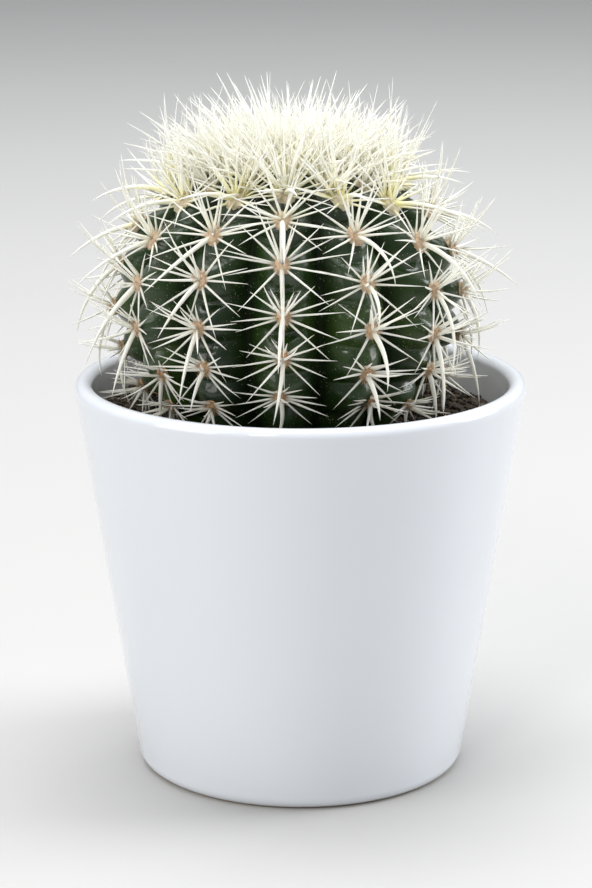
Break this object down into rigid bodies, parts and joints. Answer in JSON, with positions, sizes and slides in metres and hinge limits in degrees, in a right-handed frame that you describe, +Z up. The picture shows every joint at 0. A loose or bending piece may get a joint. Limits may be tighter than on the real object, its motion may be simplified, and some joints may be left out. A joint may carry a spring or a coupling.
{
  "type": "potted round cactus",
  "caption": "Round ribbed barrel cactus with clusters of ivory spines and a spiny crown, growing in soil in a tapered white glazed pot.",
  "frame": {"origin": "middle of the pot's flat underside, on the surface that the pot stands on", "axes": "+Z up along the pot's axis; -Y is the front, which faces the viewer; +X is the viewer's right"},
  "size_m": [0.146, 0.1435, 0.221],
  "materials": {
    "glazed_pot": "gloss",
    "potting_mix": "matte",
    "root_bark": "matte",
    "green_skin": "satin",
    "spine_and_wool": "satin"
  },
  "bodies": {
    "root": {"pot": "glazed_pot", "soil": "potting_mix", "roots": "root_bark", "stem": "green_skin", "crown_spines": "spine_and_wool", "rib_01_upper_spines": "spine_and_wool", "rib_01_middle_spines": "spine_and_wool", "rib_01_lower_spines": "spine_and_wool", "rib_02_upper_spines": "spine_and_wool", "rib_02_middle_spines": "spine_and_wool", "rib_02_lower_spines": "spine_and_wool", "rib_03_upper_spines": "spine_and_wool", "rib_03_middle_spines": "spine_and_wool", "rib_03_lower_spines": "spine_and_wool", "rib_04_upper_spines": "spine_and_wool", "rib_04_middle_spines": "spine_and_wool", "rib_04_lower_spines": "spine_and_wool", "rib_05_upper_spines": "spine_and_wool", "rib_05_middle_spines": "spine_and_wool", "rib_05_lower_spines": "spine_and_wool", "rib_06_upper_spines": "spine_and_wool", "rib_06_middle_spines": "spine_and_wool", "rib_06_lower_spines": "spine_and_wool", "rib_07_upper_spines": "spine_and_wool", "rib_07_middle_spines": "spine_and_wool", "rib_07_lower_spines": "spine_and_wool", "rib_08_upper_spines": "spine_and_wool", "rib_08_middle_spines": "spine_and_wool", "rib_08_lower_spines": "spine_and_wool", "rib_09_upper_spines": "spine_and_wool", "rib_09_middle_spines": "spine_and_wool", "rib_09_lower_spines": "spine_and_wool", "rib_10_upper_spines": "spine_and_wool", "rib_10_middle_spines": "spine_and_wool", "rib_10_lower_spines": "spine_and_wool", "rib_11_upper_spines": "spine_and_wool", "rib_11_middle_spines": "spine_and_wool", "rib_11_lower_spines": "spine_and_wool", "rib_12_upper_spines": "spine_and_wool", "rib_12_middle_spines": "spine_and_wool", "rib_12_lower_spines": "spine_and_wool", "rib_13_upper_spines": "spine_and_wool", "rib_13_middle_spines": "spine_and_wool", "rib_13_lower_spines": "spine_and_wool"}
  },
  "joints": []
}
